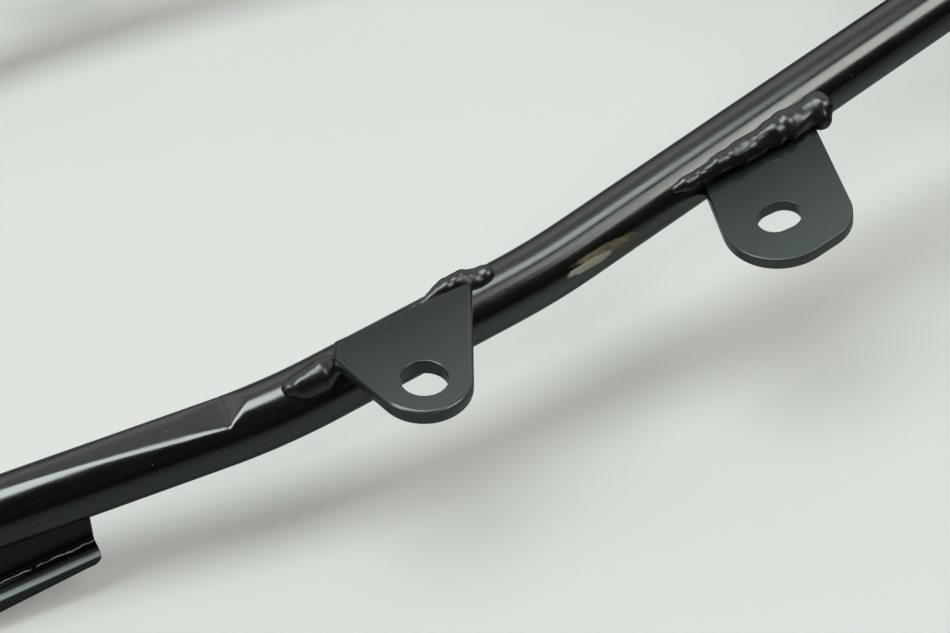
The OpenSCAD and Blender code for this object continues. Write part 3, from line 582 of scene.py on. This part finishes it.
# The painted highlight on the outer fold: a bright grey band laid by where it lies round the section
over_fold, highlight_band, painted_highlight_mix = (nodes.new("ShaderNode" + k) for k in ("MapRange", "ValToRGB", "Mix"))
painted_highlight_mix.data_type = "RGBA"
dial(over_fold, From_Min=0.0028, From_Max=0.0088)
highlight_stops = ((0, 0), (0.33, 0.1), (0.48, 0.55), (0.57, 0.95), (0.62, 0.7), (0.66, 0.06), (1, 0.04))
lay_ramp(highlight_band.color_ramp, [(at, (share, share, share)) for at, share in highlight_stops])
dial(painted_highlight_mix, B=(0.6, 0.66, 0.67, 1))
wire(links, (split, "Y", over_fold, "Value"), (over_fold, "Result", highlight_band, "Fac"),
     (highlight_band, "Color", painted_highlight_mix, "Factor"))
links.new(bsdf.inputs["Base Color"].links[0].from_socket, painted_highlight_mix.inputs["A"])
wire(links, (painted_highlight_mix, "Result", bright, "A"), (line_on, "Value", bright, "Factor"),
     (bright, "Result", bsdf, "Base Color"))
hook_mesh.materials.append(painted_fold_highlight)
for side in ("right", "left"):
    hook = handed(hook_mesh, side, side + "_hook_sheet")
    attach(hook, "root")
    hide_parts(side + "_hook_bracket")

# Weld beads at the tabs: wire laid down drop by drop, grown together and painted over. The nodes put
# drops at an even pitch along a path, melt them into one skin and give it lumps.
bead_enamel = enamel("bead_enamel", black=(0.0028, 0.0034, 0.003), veil=(0.009, 0.0105, 0.0085),
                     ior=2.0, rough=0.26, wavy=0.15)
bead = bpy.data.node_groups.new("weld_bead", "GeometryNodeTree")
for name, kind, value in (
        ("Geometry", "Geometry", None), ("Pitch", "Float", 0.0026), ("Grid", "Float", 0.00028),
        ("Uneven", "Float", 0.1), ("Lump Height", "Float", 0.003), ("Lump Size", "Float", 0.0075),
        ("Seed", "Int", 5), ("Paint", "Material", None)):
    socket = bead.interface.new_socket(name, in_out="INPUT", socket_type="NodeSocket" + kind)
    if value is not None:
        socket.default_value = value
bead.interface.new_socket("Geometry", in_out="OUTPUT", socket_type="NodeSocketGeometry")
nodes, links = bead.nodes, bead.links
into, outof = nodes.new("NodeGroupInput"), nodes.new("NodeGroupOutput")
path, evenly, drop_shape, size, put, joined = (nodes.new("GeometryNode" + k) for k in (
    "MeshToCurve", "ResampleCurve", "MeshIcoSphere", "InputNamedAttribute", "InstanceOnPoints",
    "RealizeInstances"))
fog, melted, smooth_by, spot, smoothed, normal, lumpy, shade, real, coat = (
    nodes.new("GeometryNode" + k) for k in (
        "MeshToVolume", "VolumeToMesh", "BlurAttribute", "InputPosition", "SetPosition", "InputNormal",
        "SetPosition", "SetShadeSmooth", "RealizeInstances", "SetMaterial"))
least, most, sized, lumps, per_metre, centred, high, push = (nodes.new("ShaderNode" + k) for k in (
    "Math", "Math", "Math", "TexNoise", "Math", "Math", "Math", "VectorMath"))
swell = nodes.new("FunctionNodeRandomValue")
wire(links, (into, "Geometry", path, "Mesh"), (path, "Curve", evenly, "Curve"))
evenly.mode = "LENGTH"
links.new(into.outputs["Pitch"], evenly.inputs["Length"])
dial(drop_shape, Radius=1.0, Subdivisions=4)
size.data_type = "FLOAT"
dial(size, Name="size")
least.operation, most.operation, sized.operation = "SUBTRACT", "ADD", "MULTIPLY"
least.inputs[0].default_value = most.inputs[0].default_value = 1.0
wire(links, (into, "Uneven", least, 1), (into, "Uneven", most, 1))
swell_in = {socket.name: socket for socket in swell.inputs if socket.enabled}
links.new(least.outputs["Value"], swell_in["Min"])
links.new(most.outputs["Value"], swell_in["Max"])
links.new(into.outputs["Seed"], swell_in["Seed"])
links.new(next(s for s in size.outputs if s.enabled and s.name == "Attribute"), sized.inputs[0])
links.new(next(s for s in swell.outputs if s.enabled), sized.inputs[1])
wire(links, (evenly, "Curve", put, "Points"), (drop_shape, "Mesh", put, "Instance"),
     (sized, "Value", put, "Scale"), (put, "Instances", joined, "Geometry"),
     (joined, "Geometry", fog, "Mesh"))
fog.resolution_mode = melted.resolution_mode = "VOXEL_SIZE"
wire(links, (into, "Grid", fog, "Voxel Size"), (into, "Grid", melted, "Voxel Size"))
dial(fog, Interior_Band_Width=0.0008)
links.new(fog.outputs["Volume"], melted.inputs["Volume"])
smooth_by.data_type = "FLOAT_VECTOR"
dial(smooth_by, Iterations=25)
links.new(spot.outputs["Position"], next(s for s in smooth_by.inputs if s.enabled and s.name == "Value"))
links.new(melted.outputs["Mesh"], smoothed.inputs["Geometry"])
links.new(next(s for s in smooth_by.outputs if s.enabled), smoothed.inputs["Position"])
lumps.noise_dimensions = "4D"
dial(lumps, Detail=1.0)
per_metre.operation, per_metre.inputs[0].default_value = "DIVIDE", 1.0
wire(links, (into, "Lump Size", per_metre, 1), (per_metre, "Value", lumps, "Scale"),
     (into, "Seed", lumps, "W"))
noise_mean = 0.5
centred.operation, centred.inputs[1].default_value = "SUBTRACT", noise_mean
high.operation, push.operation = "MULTIPLY", "SCALE"
wire(links, (lumps, "Fac", centred, 0), (centred, "Value", high, 0),
     (into, "Lump Height", high, 1), (normal, "Normal", push, 0),
     (high, "Value", push, "Scale"), (smoothed, "Geometry", lumpy, "Geometry"),
     (push, "Vector", lumpy, "Offset"), (lumpy, "Geometry", shade, "Geometry"),
     (shade, "Geometry", real, "Geometry"), (real, "Geometry", coat, "Geometry"),
     (into, "Paint", coat, "Material"), (coat, "Geometry", outof, "Geometry"))


# The gap under the level rear tab, between its underside and the tube, which grows towards its heel
def gap_at(x):
    return max(0, rear_tab_top - rear_t - (rear_bend.z + (x * mid_dir.z + tube_r / mid_dir.x)))


# How much of the long rear run's bulge, just behind the tab's toe, there is at a place along it
def bulge_at(x):
    middle, half_len = 0.0595, 0.0065
    return math.exp(-((x - middle) / half_len) ** 2)


# Where the drops go: how far ahead of the bend, out from the rail and up, and how big a drop. The rear
# beads are a short run behind the tab's heel, the long run along its edge and a short one ahead of its
# toe. The front bead follows the tab's foot and turns out at its front end.
edge_from, edge_out, closing, under_plate, edge_up, edge_r = 0.0235, 0.0026, 0.06, 0.002, 0.0004, 0.0021
bulge_out, bulge_up, bulge_r, edge_points = 0.0009, 0.0008, 0.0011, 16
rear_paths = (
    [(0.0060, 0.0026, 0.0088, 0.0027), (0.0090, 0.0032, 0.0088, 0.0037), (0.0122, 0.0036, 0.0088, 0.0046),
     (0.0155, 0.0038, 0.0090, 0.0046), (0.0182, 0.0035, 0.0097, 0.0038)],
    [(x, edge_out - closing * (x - edge_from) - under_plate - bulge_out * bulge_at(x),
      tube_r + edge_up + gap_at(x) / 2 + bulge_up * bulge_at(x),
      edge_r + gap_at(x) / 5 + bulge_r * bulge_at(x))
     for x in np.linspace(edge_from, toe_at, edge_points).tolist()],
    [(0.0640, -0.0012, 0.0088, 0.0039), (0.0668, -0.0010, 0.0089, 0.0039), (0.0694, -0.0009, 0.0091, 0.0038)])
foot_from, foot_len, foot_r, foot_points = 0.0453, 0.0521, 0.0042, 19
out_first, out_more, up_last, up_more, thin_first, fullest = 0.74, 0.38, 0.47, 0.19, 0.45, 1.1
front_paths = (
    [(foot_from + foot_len * k, tube_r * (out_first + out_more * k),
      tube_r * (up_last + up_more * (1 - k) ** 3), foot_r * min(fullest, thin_first + k))
     for k in np.linspace(0, 1, foot_points).tolist()],
    [(0.0954, tube_r * 1.1, 0.0035, 0.0036), (0.0954, tube_r * 1.45, 0.0032, 0.0034)])
mid_aside = mid_dir.cross(Vector((0, 0, 1))).normalized()
for label, paths, origin, axes, pitch, lump in (
        ("rear_tab_welds", rear_paths, rear_bend, (mid_dir, mid_aside, mid_aside.cross(mid_dir)),
         0.0026, 0.0021),
        ("front_tab_weld", front_paths, front_bend,
         (front_dir, front_aside, front_aside.cross(front_dir)), 0.0029, 0.003)):
    points, edges, sizes = [], [], []
    for run_of_drops in paths:
        edges += [(len(points) + k, len(points) + k + 1) for k in range(len(run_of_drops) - 1)]
        points += [origin + axes[0] * x + axes[1] * y + axes[2] * z for x, y, z, _ in run_of_drops]
        sizes += [r for *_, r in run_of_drops]
    mesh = bpy.data.meshes.new("bead_path")
    mesh.from_pydata(points, edges, [])
    mesh.attributes.new("size", "FLOAT", "POINT").data.foreach_set("value", sizes)
    laid = bpy.data.objects.new("bead_path", mesh)
    scene.collection.objects.link(laid)
    melt = laid.modifiers.new("bead", "NODES")
    melt.node_group = bead
    socket_of = {s.name: s.identifier for s in bead.interface.items_tree if s.in_out == "INPUT"}
    melt[socket_of["Pitch"]], melt[socket_of["Paint"]] = pitch, bead_enamel
    melt[socket_of["Lump Height"]] = lump
    bpy.context.view_layer.update()
    skin_mesh = bpy.data.meshes.new_from_object(laid.evaluated_get(bpy.context.evaluated_depsgraph_get()))
    laid.modifiers.remove(melt)
    bpy.data.objects.remove(laid)
    for side in ("right", "left"):
        weld = handed(skin_mesh, side, f"{side}_{label}_skin")
        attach(weld, "root")
        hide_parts(f"{side}_{label}")

# Pieces that keep their plain shape: the hoop, cross tubes, struts, bosses, gussets, latch plate, seat
# hook and light bracket, all in the same enamel, and the latch plate's weld nuts, which are zinc plated
zinc = bpy.data.materials.new("zinc_plate")
zinc.use_nodes = True
nodes, links = zinc.node_tree.nodes, zinc.node_tree.links
bsdf = nodes["Principled BSDF"]
coord, cloud, tint, gloss = (nodes.new("ShaderNode" + k) for k in (
    "TexCoord", "TexNoise", "ValToRGB", "MapRange"))
dial(bsdf, Metallic=1.0)
dial(cloud, Scale=300.0)
lay_ramp(tint.color_ramp, [(0, (0.5, 0.5, 0.46)), (1, (0.72, 0.7, 0.62))])
dial(gloss, To_Min=0.3, To_Max=0.5)
wire(links, (coord, "Object", cloud, "Vector"), (cloud, "Fac", tint, "Fac"),
     (tint, "Color", bsdf, "Base Color"), (cloud, "Fac", gloss, "Value"),
     (gloss, "Result", bsdf, "Roughness"))
for name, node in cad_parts.items():
    round_stock = any(k in name for k in ("hoop", "cross_tube", "boss", "rail")) or name.endswith("strut")
    painted = bead_enamel if "weld" in name else tube_enamel if round_stock else sheet_enamel
    node.data.materials.clear()
    node.data.materials.append(zinc if "nuts" in name else painted)
